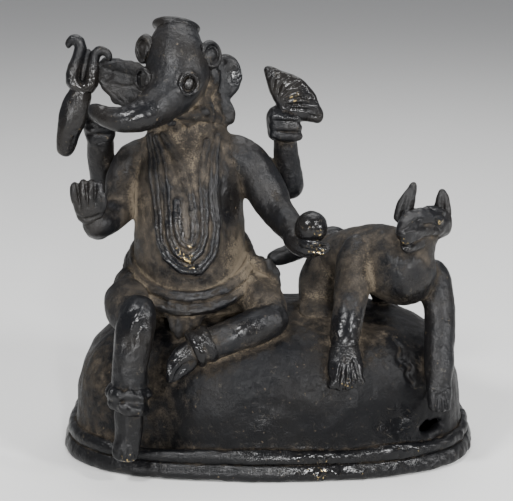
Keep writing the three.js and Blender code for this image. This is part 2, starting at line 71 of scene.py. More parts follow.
MM = 1000.0  # millimetres in a metre
VOXEL = 0.36
BAND = 2.9  # how far from a surface its distance field is kept
MARGIN = 4.5  # lattice kept around the whole object
OVERLAP = 0.12  # how far neighbouring pieces run into each other, so that no seam opens
SPARSE = 3  # the broad maps are kept on every third lattice point
COARSE = {"base_dome", "base_rim_lower", "base_rim_upper"}  # meshed on every other lattice point
CRUMB = 60  # a body of fewer points than this is left out
CREASE = math.cos(math.radians(58))  # facets that meet at less than this angle belong to one curved surface
NOISE_GAIN = 1.7  # brings smooth noise to unit strength

NODES = sorted(frame["nodes"])
SLOTS = {s["node"]: s["material_slot"] for s in frame["record"]["subparts"]}

# How far a piece's edges melt into its neighbours.
MELT = {
    "default": 1.4, "torso": 2.2, "rat_body": 2.8, "rat_head": 1.6, "neck": 3.2, "hips": 2.6,
    "loincloth": 1.6, "crown_disc": 0.5, "modak_ball": 0.5, "base_rim_upper": 1.8, "base_rim_lower": 1.8,
    "axe_blade": 0.8, "goad_fork": 0.5, "goad_shaft": 0.6, "goad_tine": 0.4, "collar": 1.6, "rat_brow": 0.7,
    "sash_knot": 1.2, "right_shin": 1.0, "left_shin": 1.2, "left_foot": 0.7, "right_foot": 0.8,
    "right_anklet": 0.8, "left_anklet": 0.5, "bangle_front_right": 0.6, "rat_ear_right": 1.8,
    "rat_ear_left": 1.8, "temple_boss_right": 0.6, "temple_boss_left": 0.6, "front_right_hand": 0.9,
    "rat_front_right_paw": 2.4, "rat_front_left_paw": 2.4, "rat_rear_right_paw": 2.0,
}
MELT.update({n: 0.5 for n in NODES if n.startswith(("necklace", "rat_eye", "eye", "waist"))})
MELT.update({n: 2.2 for n in NODES if n.endswith(("_arm", "_thigh", "_leg"))})

# How much each piece is smoothed.
SMOOTH = {
    "default": 0.4, "torso": 1.2, "base_dome": 0.9, "head_and_trunk": 0.8, "rat_body": 1.3, "hips": 1.0,
    "base_rim_lower": 0.7, "base_rim_upper": 0.5, "neck": 0.8, "rear_left_hand": 0.6,
    "rear_right_hand": 0.6, "eye_left": 0.22, "eye_right": 0.22, "goad_fork": 0.35,
    "temple_boss_left": 0.25, "temple_boss_right": 0.25,
}
SMOOTH.update({n: 0.8 for n in NODES if n.endswith(("_arm", "_thigh", "_shin", "_leg"))})

# How lumpy the hand-worked wax was.
LUMPS = {
    "default": 0.13, "right_anklet": 0.75, "sash_knot": 0.9, "collar": 0.95, "neck": 1.0, "loincloth": 0.55,
    "base_dome": 0.2, "base_rim_lower": 0.17, "base_rim_upper": 0.2, "lower_jaw": 0.5, "left_thigh": 0.28,
    "necklace_outer": 0.1, "necklace_middle": 0.1, "necklace_inner": 0.1, "crown_disc": 0.04,
    "modak_ball": 0.04, "ear_right": 0.26, "ear_left": 0.22, "rat_head": 0.25, "eye_left": 0.05,
    "eye_right": 0.05, "hips": 0.4, "rear_right_hand": 0.35, "waist_coil_lower": 0.24, "right_shin": 0.2,
}

# How much brown crust lies on each piece, from 0 for none to 1.
CRUST = {
    "default": 0.05, "neck": 0.9, "collar": 0.75, "lower_jaw": 0.7, "sash_knot": 0.7, "loincloth": 0.85,
    "hips": 0.7, "left_thigh": 0.7, "right_thigh": 0.5, "torso": 0.6, "waist_coil_upper": 0.62,
    "waist_coil_lower": 0.66, "rat_body": 0.62, "rat_tail": -0.1, "rat_rear_right_leg": 0.6,
    "base_dome": 0.14, "rat_rear_right_paw": 0.55, "ear_left": 0.3, "ear_right": 0.34,
    "rear_right_arm": 0.2, "goad_tine": 0.8, "front_right_arm": 0.5, "front_left_arm": 0.28,
    "head_and_trunk": -0.06, "crown_disc": 0.0, "modak_ball": -0.4, "goad_shaft": -0.05, "goad_fork": -0.05,
    "axe_blade": -0.15, "right_shin": 0.0, "left_shin": 0.08, "rear_left_hand": 0.34,
    "rear_right_hand": 0.3, "rear_left_arm": 0.2, "necklace_outer": 0.4, "necklace_middle": 0.45,
    "necklace_inner": 0.5, "eye_left": -1.0, "eye_right": -1.0, "rat_front_right_leg": 0.3,
    "rat_front_left_leg": 0.25, "rat_head": 0.0, "base_rim_lower": -0.1, "base_rim_upper": -0.1,
}

# Where there is more crust or less: piece, place in its box, radius in millimetres, how much.
DUST = [
    ("torso", (0.55, 0.2, 0.75), 7, 0.35), ("torso", (0.5, 0.2, 0.92), 8, 0.4),
    ("torso", (0.05, 0.4, 0.5), 9, 0.3), ("torso", (0.16, 0.2, 0.4), 10, 0.2),
    # painted shade: the torso's flank under the arm loses its crust, so it is painted dark where the arm's
    # shade falls
    ("torso", (0.9, 0.3, 0.25), 8, 0.7), ("torso", (0.87, 0.3, 0.56), 7, -1.5),
    ("torso", (0.4, 0.1, 0.12), 9, 0.1), ("torso", (0.8, 0.3, 0.36), 5, 0.5),
    ("torso", (0.3, 0.2, 0.5), 6, -0.3), ("front_left_arm", (0.5, 0.3, 0.8), 6, -0.5),
    ("front_left_arm", (0.1, 0.4, 0.3), 5, 0.6), ("front_right_arm", (0.85, 0.2, 0.3), 6, 0.4),
    ("rat_front_right_leg", (0.55, 0.45, 0.68), 7, 0.5), ("rat_front_right_leg", (0.4, 0.1, 0.25), 7, -0.4),
    ("rat_body", (0.75, 0.1, 0.3), 8, -0.5), ("rat_body", (0.3, 0.2, 0.75), 9, 0.3),
    ("rat_rear_right_leg", (0.4, 0.3, 0.2), 6, 0.3), ("base_dome", (0.64, 0.3, 1.0), 16, 0.65),
    ("base_dome", (0.75, 0.25, 0.96), 12, 0.6), ("base_dome", (0.08, 0.25, 0.6), 17, 0.7),
    ("base_dome", (0.25, 0.1, 0.75), 10, 0.4), ("base_dome", (0.4, 0.1, 0.97), 12, 0.5),
    ("base_dome", (0.835, 0.2, 0.76), 5, -0.3), ("base_dome", (0.5, 0.0, 0.3), 20, -0.12),
    ("waist_coil_upper", (0.9, 0.3, 0.7), 8, 0.5), ("waist_coil_lower", (0.55, 0.02, 0.2), 9, -0.2),
    ("ear_left", (0.1, 0.1, 0.5), 5, 0.7), ("ear_left", (0.8, 0.1, 0.7), 5, -0.4),
    ("head_and_trunk", (0.97, 0.5, 0.4), 4, 0.6), ("head_and_trunk", (0.9, 0.4, 0.27), 4, 0.7),
    ("left_thigh", (0.6, 0.3, 0.7), 7, 0.3), ("rear_left_arm", (0.7, 0.3, 0.75), 6, 0.25),
    ("right_thigh", (0.5, 0.1, 0.9), 6, 0.3),
]

# Where the surface is smooth and glossy: piece, place in its box, radius in millimetres.
POLISH = [
    ("head_and_trunk", (0.45, 0.1, 0.12), 8), ("head_and_trunk", (0.15, 0.2, 0.1), 6),
    ("modak_ball", (0.5, 0, 0.5), 6), ("necklace_middle", (0.5, 0, 0.3), 10),
    ("necklace_outer", (0.5, 0, 0.15), 9), ("rat_head", (0.15, 0.1, 0.35), 5),
    ("rat_eye_left", (0.8, 0.2, 0.4), 4), ("rat_front_right_leg", (0.4, 0.1, 0.25), 7),
    ("right_shin", (0.5, 0.2, 0.78), 7), ("rat_front_right_paw", (0.5, 0, 0.5), 7),
    ("left_foot", (0.3, 0, 0.5), 6), ("left_anklet", (0.4, 0, 0.5), 5), ("axe_blade", (0.5, 0, 0.5), 10),
    ("base_dome", (0.5, 0.06, 0.3), 10), ("base_dome", (0.81, 0.08, 0.3), 11),
    ("front_left_arm", (0.5, 0.2, 0.75), 6), ("goad_fork", (0.4, 0, 0.2), 6),
    ("goad_shaft", (0.4, 0, 0.4), 7), ("base_rim_upper", (0.6, 0, 0.5), 9),
    ("base_rim_lower", (0.66, 0, 0.5), 9), ("left_shin", (0.6, 0, 0.7), 7),
    ("front_left_hand", (0.6, 0, 0.5), 6), ("front_right_hand", (0.5, 0, 0.6), 5),
    ("ear_left", (0.8, 0, 0.7), 4), ("eye_left", (0.5, 0, 0.5), 4), ("rat_body", (0.75, 0.1, 0.3), 7),
    ("torso", (0.87, 0.3, 0.56), 6),
]

# Where handling has rubbed the patina down to the metal: piece, place in its box, radius in millimetres.
RUBBED = [
    ("right_foot", (0.5, 0.0, 0.03), 2.8), ("front_left_hand", (0.7, 0.0, 0.5), 4.0),
    ("modak_ball", (0.7, 0.1, 0.4), 2), ("rat_head", (0.1, 0.05, 0.3), 2.6),
    ("rat_eye_left", (0.9, 0.2, 0.3), 2.2), ("rat_front_right_paw", (0.5, 0, 0.2), 2.5),
    ("base_rim_lower", (0.62, 0.0, 0.75), 4.0), ("base_rim_lower", (0.72, 0.0, 0.75), 3.6),
    ("base_rim_upper", (0.86, 0.06, 0.5), 3.0), ("necklace_outer", (0.6, 0, 0.1), 4),
    ("axe_blade", (0.5, 0, 0.5), 2.6), ("necklace_middle", (0.6, 0, 0.1), 4),
    ("goad_tine", (0.3, 0, 0.1), 2), ("waist_coil_lower", (0.7, 0, 0.2), 3),
    ("head_and_trunk", (0.3, 0.1, 0.1), 3), ("left_anklet", (0.2, 0, 0.6), 2),
]


# ---- the lattice ----------------------------------------------------------------------------------


def in_mm(corners):
    return np.array([list(c) for c in corners]) * MM


LOW = 2 * np.floor((in_mm(CAD_BOX)[0] - MARGIN) / VOXEL / 2).astype(int)
SHAPE = np.ceil((in_mm(CAD_BOX)[1] + MARGIN) / VOXEL).astype(int) - LOW


class Patch:
    """A box of the lattice, with values on it. start counts lattice points from the world's origin."""

    def __init__(self, low_mm, high_mm):
        start = np.maximum(2 * np.floor(np.array(low_mm) / VOXEL / 2).astype(int), LOW)
        stop = np.minimum(np.ceil(np.array(high_mm) / VOXEL).astype(int) + 1, LOW + SHAPE)
        self.start, self.shape, self.values = start, np.maximum(stop - start, 0), None

    @property
    def within(self):
        return tuple(slice(s, s + n) for s, n in zip(self.start - LOW, self.shape))

    def axes(self):
        return [(self.start[i] + np.arange(self.shape[i])) * VOXEL for i in range(3)]


def spread(values, axis, kernel):
    """Values convolved with a kernel along one axis."""
    reach = len(kernel) // 2
    padded = np.pad(values, [(reach, reach) if i == axis else (0, 0) for i in range(3)], mode="edge")
    total = np.zeros_like(values)
    for k, weight in enumerate(kernel):
        window = [slice(None)] * 3
        window[axis] = slice(k, k + values.shape[axis])
        total += weight * padded[tuple(window)]
    return total


def blurred(values, sigma_mm, step=VOXEL):
    sigma = sigma_mm / step
    reach = max(1, math.ceil(2.2 * sigma))
    kernel = np.exp(-0.5 * (np.arange(-reach, reach + 1) / sigma) ** 2)
    kernel = (kernel / kernel.sum()).astype(np.float32)
    for axis in range(3):
        values = spread(values, axis, kernel)
    return values


def noise(size_mm, seed, patch=None, stretch=(1, 1, 1)):
    """Smooth noise of unit strength with lumps of about that size, the same wherever it is asked for."""
    rng = np.random.default_rng(seed)
    cells = [int(np.ceil(SHAPE[i] * VOXEL / (size_mm * stretch[i]))) + 4 for i in range(3)]
    out = rng.standard_normal(cells).astype(np.float32)
    patch_start = LOW if patch is None else patch.start
    patch_shape = SHAPE if patch is None else patch.shape
    for axis in (2, 1, 0):
        steps = patch_start[axis] - LOW[axis] + np.arange(patch_shape[axis])
        place = steps * VOXEL / (size_mm * stretch[axis]) + 1
        cell, part = np.floor(place).astype(int), (place % 1)
        weights = np.zeros((len(place), cells[axis]), np.float32)
        rows = np.arange(len(place))
        # a cubic B-spline between the four nearest random values
        for offset, share in ((-1, (1 - part) ** 3 / 6), (0, (3 * part**3 - 6 * part**2 + 4) / 6),
                              (1, (-3 * part**3 + 3 * part**2 + 3 * part + 1) / 6), (2, part**3 / 6)):
            weights[rows, np.clip(cell + offset, 0, cells[axis] - 1)] += share
        out = np.moveaxis(np.tensordot(weights, out, (1, axis)), 0, axis)
    return out * NOISE_GAIN


# ---- from a faceted CAD solid to a round distance field --------------------------------------------


def welded(obj):
    """A mesh's points in millimetres, each kept once, and its triangles."""
    mesh = obj.data
    places = np.empty(len(mesh.vertices) * 3, np.float32)
    mesh.vertices.foreach_get("co", places)
    mesh.calc_loop_triangles()
    corners = np.empty(len(mesh.loop_triangles) * 3, np.int32)
    mesh.loop_triangles.foreach_get("vertices", corners)
    places = places.reshape(-1, 3).astype(float) * MM
    _, first, same = np.unique(np.round(places, 3), axis=0, return_index=True, return_inverse=True)
    faces = same.reshape(-1)[corners].reshape(-1, 3)
    proper = (faces[:, 0] != faces[:, 1]) & (faces[:, 1] != faces[:, 2]) & (faces[:, 2] != faces[:, 0])
    return places[first], faces[proper]


def corner_normals(places, faces, crease):
    """A normal for each corner of each face, averaged over the faces round it that meet its own smoothly."""
    corner = places[faces]
    flat = np.cross(corner[:, 1] - corner[:, 0], corner[:, 2] - corner[:, 0])
    flat /= np.linalg.norm(flat, axis=1, keepdims=True) + 1e-12
    angle = np.empty(faces.shape)
    for i in range(3):
        a, b = corner[:, (i + 1) % 3] - corner[:, i], corner[:, (i + 2) % 3] - corner[:, i]
        cosine = (a * b).sum(1) / (np.linalg.norm(a, axis=1) * np.linalg.norm(b, axis=1) + 1e-12)
        angle[:, i] = np.arccos(np.clip(cosine, -1, 1))
    of_vertex = faces.reshape(-1)
    order = np.argsort(of_vertex, kind="stable")
    count = np.bincount(of_vertex, minlength=len(places))
    first = np.concatenate([[0], np.cumsum(count)[:-1]])
    mine = np.repeat(np.arange(len(of_vertex)), count[of_vertex])
    run = np.arange(len(mine)) - np.repeat(np.cumsum(count[of_vertex]) - count[of_vertex], count[of_vertex])
    other = order[first[of_vertex[mine]] + run]
    smooth = (flat[mine // 3] * flat[other // 3]).sum(1) > crease
    weight = np.where(smooth, angle.reshape(-1)[other], 0)[:, None] * flat[other // 3]
    total = np.zeros((len(of_vertex), 3))
    for i in range(3):
        total[:, i] = np.bincount(mine, weight[:, i], len(of_vertex))
    total /= np.linalg.norm(total, axis=1, keepdims=True) + 1e-12
    return total.reshape(-1, 3, 3), flat


def rounded(places, faces, steps=4):
    """The facets bowed into curved ones (point-normal triangles), each cut into steps x steps small ones."""
    normals, flat = corner_normals(places, faces, CREASE)
    corner = places[faces]
    edges = np.sort(np.stack([faces, np.roll(faces, -1, 1)], 2), 2).reshape(-1, 2)
    key = edges[:, 0] * len(places) + edges[:, 1]
    order = np.argsort(key, kind="stable")
    bend = np.ones(len(key))
    pair = np.flatnonzero(key[order][:-1] == key[order][1:])
    a, b = order[pair], order[pair + 1]
    bend[a] = bend[b] = ((flat[a // 3] * flat[b // 3]).sum(1) > CREASE)
    bend = bend.reshape(-1, 3)

    def handle(i, j, soft):
        """The control point a third of the way from corner i to corner j."""
        along = corner[:, j] - corner[:, i]
        lift = (along * normals[:, i]).sum(1)
        limit = 0.2 * np.linalg.norm(along, axis=1)
        lift = np.clip(lift, -limit, limit) * soft
        return corner[:, i] + (along - lift[:, None] * normals[:, i]) / 3

    hold = {(0, 1): handle(0, 1, bend[:, 0]), (1, 0): handle(1, 0, bend[:, 0]),
            (1, 2): handle(1, 2, bend[:, 1]), (2, 1): handle(2, 1, bend[:, 1]),
            (2, 0): handle(2, 0, bend[:, 2]), (0, 2): handle(0, 2, bend[:, 2])}
    middle = sum(hold.values()) / 6
    middle = middle + (middle - corner.mean(1)) / 2
    grid = [(i, j) for i in range(steps + 1) for j in range(steps + 1 - i)]
    number = {ij: n for n, ij in enumerate(grid)}
    points = []
    for i, j in grid:
        u, v = i / steps, j / steps
        w = 1 - u - v
        points.append(w**3 * corner[:, 0] + u**3 * corner[:, 1] + v**3 * corner[:, 2]
                      + 3 * w * w * u * hold[0, 1] + 3 * w * u * u * hold[1, 0]
                      + 3 * u * u * v * hold[1, 2] + 3 * u * v * v * hold[2, 1]
                      + 3 * v * v * w * hold[2, 0] + 3 * v * w * w * hold[0, 2] + 6 * u * v * w * middle)
    small = [(number[i, j], number[i + 1, j], number[i, j + 1]) for i, j in grid if i + j < steps]
    small += [(number[i + 1, j], number[i + 1, j + 1], number[i, j + 1])
              for i, j in grid if i + j < steps - 1]
    points = np.stack(points, 1).reshape(-1, 3)
    triangles = (np.array(small)[None] + (np.arange(len(faces)) * len(grid))[:, None, None]).reshape(-1, 3)
    return points.astype(np.float32), triangles.astype(np.uint32)


def distance_field(node):
    """A CAD node's distance field on its patch of the lattice, rounded and smoothed."""
    low, high = in_mm(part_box(node))
    patch = Patch(low - BAND - 1, high + BAND + 1)
    points, triangles = rounded(*welded(frame["nodes"][node]))
    grid = vdb.FloatGrid.createLevelSetFromPolygons(
        points, triangles=triangles, transform=vdb.createLinearTransform(VOXEL), halfWidth=BAND / VOXEL)
    patch.values = np.empty(patch.shape, np.float32)
    grid.copyToArray(patch.values, ijk=tuple(int(s) for s in patch.start))
    filled = int((patch.values < 0).sum())
    patch.values = blurred(patch.values, SMOOTH.get(node, SMOOTH["default"]))
    patch.values -= np.partition(patch.values.ravel(), filled)[filled]  # smoothing takes no volume away
    return patch


def melted(a, b, reach):
    """The union of two fields, filleted where they meet."""
    near = np.maximum(reach - np.abs(a - b), 0) / reach
    return np.minimum(a, b) - near * near * (reach / 4)


fields = {node: distance_field(node) for node in NODES}
whole = np.full(SHAPE, BAND, np.float32)
nearest = np.full(SHAPE, BAND, np.float32)
second = np.full(SHAPE, BAND, np.float32)
owner = np.full(SHAPE, -1, np.int16)
for index, node in enumerate(NODES):
    field = fields[node]
    here = field.within
    whole[here] = melted(whole[here], field.values, MELT.get(node, MELT["default"]))
    closer = field.values < nearest[here]
    second[here] = np.where(closer, nearest[here], np.minimum(second[here], field.values))
    owner[here] = np.where(closer, index, owner[here])
    nearest[here] = np.minimum(nearest[here], field.values)


def by_owner(table):
    """A value for each lattice point, from a table with an entry for each piece."""
    listed = np.array([table.get(n, table["default"]) for n in NODES] + [table["default"]], np.float32)
    return listed[owner]


# ---- tooling: grooves, ridges and lumps on the melted wax -------------------------------------------


def sample(values, points, step=1):
    """Values of a lattice at points between its own, in millimetres."""
    place = (points / VOXEL - LOW) / step
    place = np.clip(place, 0, np.array(values.shape) - 1.001)
    cell, part = np.floor(place).astype(int), place % 1
    total = np.zeros(len(points))
    for corner in range(8):
        offset = np.array([corner & 1, corner >> 1 & 1, corner >> 2 & 1])
        weight = np.prod(np.where(offset, part, 1 - part), axis=1)
        total += weight * values[tuple((cell + offset).T)]
    return total


def spot(node, across, back, up):
    """A place in a CAD node's box: across from its left, back from its front, up from its foot, 0 to 1."""
    low, high = in_mm(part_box(node))
    return low + np.array([across, back, up]) * (high - low)


def curved(points, count=24):
    """More points, on a smooth curve through the given ones."""
    p = np.array(points, float)
    p = np.vstack([2 * p[0] - p[1], p, 2 * p[-1] - p[-2]])
    t = np.linspace(0, len(p) - 3 - 1e-6, count)
    i, f = np.floor(t).astype(int), (t % 1)[:, None]
    return 0.5 * (2 * p[i + 1] + (p[i + 2] - p[i]) * f
                  + (2 * p[i] - 5 * p[i + 1] + 4 * p[i + 2] - p[i + 3]) * f**2
                  + (3 * p[i + 1] - p[i] - 3 * p[i + 2] + p[i + 3]) * f**3)


def facing_front(patch):
    """How squarely the surface near each point of the patch faces the front, 0 to 1."""
    box = [slice(max(w.start - 1, 0), w.stop + 1) for w in patch.within]
    inner = tuple(slice(w.start - b.start, w.stop - b.start) for w, b in zip(patch.within, box))
    slope = np.gradient(whole[tuple(box)], VOXEL, axis=1)[inner]
    return np.clip(-1.6 * slope, 0, 1)


def stroke(node, places, width, height, depth, taper=True):
    """Raises a soft line on what faces the front, or sinks one where height is below 0. Places are across
    and up in the node's box, and depth is how far behind the box's front the mark still reaches."""
    line = curved([spot(node, across, 0, up) for across, up in places])
    reach = 2.4 * width
    low, high = line.min(0) - reach, line.max(0) + reach
    low[1], high[1] = line[0, 1] - 3, line[0, 1] + depth
    patch = Patch(low, high)
    x, y, z = patch.axes()
    where = np.stack(np.meshgrid(x, z, indexing="ij"), -1).astype(np.float32)
    best = np.full(where.shape[:-1], 1e9, np.float32)
    along = np.zeros_like(best)
    flat = line[:, [0, 2]].astype(np.float32)
    for k in range(len(flat) - 1):
        step = flat[k + 1] - flat[k]
        t = np.clip(((where - flat[k]) @ step) / (step @ step + 1e-9), 0, 1)
        gap = ((where - flat[k] - t[..., None] * step) ** 2).sum(-1)
        along = np.where(gap < best, (k + t) / (len(flat) - 1), along)
        best = np.minimum(best, gap)
    lift = height * np.exp(-best / width**2)
    if taper:
        lift = lift * np.sqrt(np.clip(np.sin(np.pi * (0.05 + 0.9 * along)), 0, 1))
    fade = np.clip((high[1] - y) / 1.5, 0, 1).astype(np.float32)
    lift = lift[:, None, :] * fade[None, :, None] * facing_front(patch)
    whole[patch.within] -= lift.astype(np.float32)


def dimple(node, place, radii, height):
    """Raises a soft mound round a place in the node's box, or sinks a hollow where height is below 0."""
    centre, radii = spot(node, *place), np.array(radii, float)
    patch = Patch(centre - 2.4 * radii, centre + 2.4 * radii)
    x, y, z = [((a - centre[i]) / radii[i]) ** 2 for i, a in enumerate(patch.axes())]
    lift = height * np.exp(-(x[:, None, None] + y[None, :, None] + z[None, None, :]))
    whole[patch.within] -= lift.astype(np.float32)


def threads(node, outward, angles, width, height):
    """Grooves along a coil, at these angles in degrees off the way that it faces. outward gives that way, as
    an array of vectors, from the coil's patch."""
    field = fields[node]
    slope = np.stack(np.gradient(field.values, VOXEL), -1)
    slope /= np.linalg.norm(slope, axis=-1, keepdims=True) + 1e-6
    angle = np.degrees(np.arccos(np.clip((slope * outward(field)).sum(-1), -1, 1)))
    lift = sum(height * np.exp(-(((angle - a) / width) ** 2)) for a in angles)
    near = np.clip(1.4 - np.abs(field.values), 0, 1)
    mine = owner[field.within] == NODES.index(node)
    whole[field.within] -= (lift * near * mine).astype(np.float32)


def off_the_belly(field):
    """The way straight out of the torso, at each point of a field's patch."""
    slope = np.stack(np.gradient(whole_torso[field.within], VOXEL), -1)
    return slope / (np.linalg.norm(slope, axis=-1, keepdims=True) + 1e-6)


def off_the_waist(field):
    """The level way out from the torso's middle, at each point of a field's patch."""
    middle = (in_mm(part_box("torso"))[0] + in_mm(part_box("torso"))[1]) / 2
    x, y, z = field.axes()
    away = np.zeros((*field.shape, 3))
    away[..., 0] = (x - middle[0])[:, None, None]
    away[..., 1] = (y - middle[1])[None, :, None]
    return away / (np.linalg.norm(away, axis=-1, keepdims=True) + 1e-6)


# The torso's field alone, so that the cords on it know which way is outward.
whole_torso = np.full(SHAPE, BAND, np.float32)
whole_torso[fields["torso"].within] = fields["torso"].values

# Grooves and ridges: piece, places across and up in its box, width, height, reach behind its front.
MARKS = [
    # the raised hand: three gaps between its fingers, and the folds of its wrist
    ("front_right_hand", [(0.3, 0.42), (0.25, 0.7), (0.21, 0.93)], 0.42, -0.85, 5),
    ("front_right_hand", [(0.48, 0.4), (0.46, 0.7), (0.44, 0.94)], 0.42, -0.85, 5),
    ("front_right_hand", [(0.66, 0.42), (0.67, 0.7), (0.66, 0.93)], 0.42, -0.75, 5),
    ("front_right_hand", [(0.12, 0.24), (0.45, 0.16), (0.85, 0.27)], 0.45, -0.5, 6),
    # fists
    ("rear_right_hand", [(0.05, 0.3), (0.5, 0.34), (0.95, 0.3)], 0.4, -0.5, 7),
    ("rear_right_hand", [(0.05, 0.6), (0.5, 0.64), (0.95, 0.6)], 0.4, -0.5, 7),
    ("rear_left_hand", [(0.3, 0.42), (0.6, 0.4), (0.97, 0.36)], 0.38, -0.5, 7),
    ("rear_left_hand", [(0.2, 0.68), (0.6, 0.66), (0.97, 0.62)], 0.38, -0.5, 7),
    # the open hand: gaps between its fingers
    ("front_left_hand", [(0.45, 0.5), (0.75, 0.42), (0.98, 0.5)], 0.32, -0.5, 7),
    ("front_left_hand", [(0.1, 0.45), (0.4, 0.22), (0.8, 0.18)], 0.35, -0.35, 7),
    # ribs that fan out across the axe blade, and its thickened edge
    ("axe_blade", [(0.17, 0.6), (0.2, 0.78), (0.3, 0.9)], 0.34, -0.5, 5),
    ("axe_blade", [(0.1, 0.78), (0.14, 0.86), (0.2, 0.93)], 0.3, -0.4, 5),
    ("axe_blade", [(0.24, 0.5), (0.3, 0.7), (0.47, 0.83)], 0.34, -0.55, 5),
    ("axe_blade", [(0.26, 0.45), (0.4, 0.62), (0.6, 0.74)], 0.34, -0.6, 5),
    ("axe_blade", [(0.28, 0.42), (0.48, 0.55), (0.7, 0.62)], 0.34, -0.6, 5),
    ("axe_blade", [(0.3, 0.38), (0.52, 0.46), (0.78, 0.48)], 0.34, -0.6, 5),
    ("axe_blade", [(0.34, 0.34), (0.56, 0.36), (0.84, 0.34)], 0.34, -0.6, 5),
    ("axe_blade", [(0.44, 0.28), (0.62, 0.27), (0.88, 0.22)], 0.34, -0.5, 5),
    ("axe_blade", [(0.7, 0.2), (0.8, 0.15), (0.93, 0.13)], 0.3, -0.4, 5),
    # veins and folds of the ears
    ("ear_left", [(0.3, 0.9), (0.42, 0.66), (0.3, 0.4)], 0.5, -0.3, 4),
    ("ear_left", [(0.97, 0.72), (0.8, 0.52), (0.66, 0.36), (0.92, 0.05)], 0.6, 0.5, 4),
    ("ear_right", [(0.06, 0.86), (0.05, 0.6), (0.3, 0.3), (0.6, 0.05)], 0.8, 0.5, 5),
    ("ear_right", [(0.75, 0.62), (0.45, 0.7), (0.16, 0.8)], 0.45, -0.3, 4),
    ("ear_right", [(0.75, 0.5), (0.5, 0.46), (0.3, 0.5)], 0.45, -0.3, 4),
    # the line of the jaw, between head and ear
    ("head_and_trunk", [(0.98, 0.5), (0.93, 0.38), (0.85, 0.26)], 0.5, 0.45, 22),
    # folds of the chest and flanks
    ("torso", [(0.24, 0.84), (0.3, 0.6), (0.3, 0.36)], 0.4, -0.35, 12),
    ("torso", [(0.62, 0.9), (0.66, 0.7), (0.66, 0.45)], 0.4, -0.35, 12),
    ("torso", [(0.1, 0.14), (0.4, 0.05), (0.7, 0.08)], 0.7, -0.3, 9),
    ("torso", [(0.76, 0.64), (0.79, 0.5), (0.84, 0.4)], 0.6, 0.45, 12),
    # legs and feet
    ("right_shin", [(0.72, 0.93), (0.5, 0.84), (0.42, 0.7)], 0.8, 0.4, 9),
    ("right_shin", [(0.8, 0.84), (0.62, 0.76), (0.55, 0.6)], 0.5, -0.35, 9),
    ("right_foot", [(0.3, 0.22), (0.27, 0.02)], 0.32, -0.45, 7),
    ("right_foot", [(0.52, 0.24), (0.5, 0.02)], 0.32, -0.45, 7),
    ("right_foot", [(0.74, 0.22), (0.74, 0.02)], 0.32, -0.4, 7),
    ("left_foot", [(0.05, 0.5), (0.06, 0.3), (0.16, 0.1)], 0.5, 0.5, 6),
    ("left_foot", [(0.22, 0.12), (0.42, 0.36), (0.7, 0.5)], 0.8, -1.0, 6),
    ("left_foot", [(0.2, 0.5), (0.42, 0.66), (0.62, 0.86)], 0.4, -0.35, 6),
    # the rat: mouth, muzzle, lids, ears and toes
    ("rat_head", [(0.02, 0.3), (0.16, 0.2), (0.32, 0.26), (0.5, 0.34)], 0.38, -0.75, 9),
    ("rat_head", [(0.02, 0.4), (0.16, 0.3), (0.32, 0.36), (0.5, 0.44)], 0.45, 0.4, 9),
    ("rat_head", [(0.08, 0.62), (0.2, 0.7), (0.4, 0.84)], 0.4, -0.5, 9),
    ("rat_head", [(0.42, 0.84), (0.46, 0.66), (0.52, 0.5)], 0.4, -0.45, 9),
    ("rat_head", [(0.56, 0.34), (0.66, 0.28), (0.72, 0.44)], 0.6, -0.5, 12),
    ("rat_head", [(0.05, 0.68), (0.3, 0.88), (0.6, 0.84), (0.92, 0.66)], 0.6, 0.7, 12),
    ("rat_head", [(0.42, 0.66), (0.58, 0.62), (0.74, 0.5)], 0.7, -1.3, 12),
    ("rat_head", [(0.04, 0.5), (0.22, 0.62), (0.42, 0.56)], 0.6, 0.5, 9),
    ("rat_ear_right", [(0.4, 0.12), (0.52, 0.45), (0.72, 0.84)], 0.7, -0.6, 3),
    ("rat_ear_left", [(0.46, 0.12), (0.5, 0.45), (0.5, 0.8)], 0.7, -0.6, 3),
    ("rat_front_right_paw", [(0.4, 0.75), (0.3, 0.4), (0.24, 0.03)], 0.45, -0.85, 11),
    ("rat_front_right_paw", [(0.46, 0.78), (0.43, 0.4), (0.41, 0.02)], 0.45, -0.85, 11),
    ("rat_front_right_paw", [(0.54, 0.78), (0.57, 0.4), (0.59, 0.02)], 0.45, -0.85, 11),
    ("rat_front_right_paw", [(0.6, 0.75), (0.7, 0.4), (0.77, 0.03)], 0.45, -0.85, 11),
    ("rat_front_left_paw", [(0.42, 0.8), (0.36, 0.4), (0.3, 0.02)], 0.42, -0.7, 9),
    ("rat_front_left_paw", [(0.53, 0.8), (0.54, 0.4), (0.54, 0.02)], 0.42, -0.7, 9),
    ("rat_front_left_paw", [(0.64, 0.8), (0.72, 0.4), (0.77, 0.02)], 0.42, -0.7, 9),
    ("rat_rear_right_paw", [(0.35, 0.55), (0.33, 0.1)], 0.4, -0.3, 4),
    ("rat_rear_right_paw", [(0.62, 0.55), (0.64, 0.1)], 0.4, -0.3, 4),
]

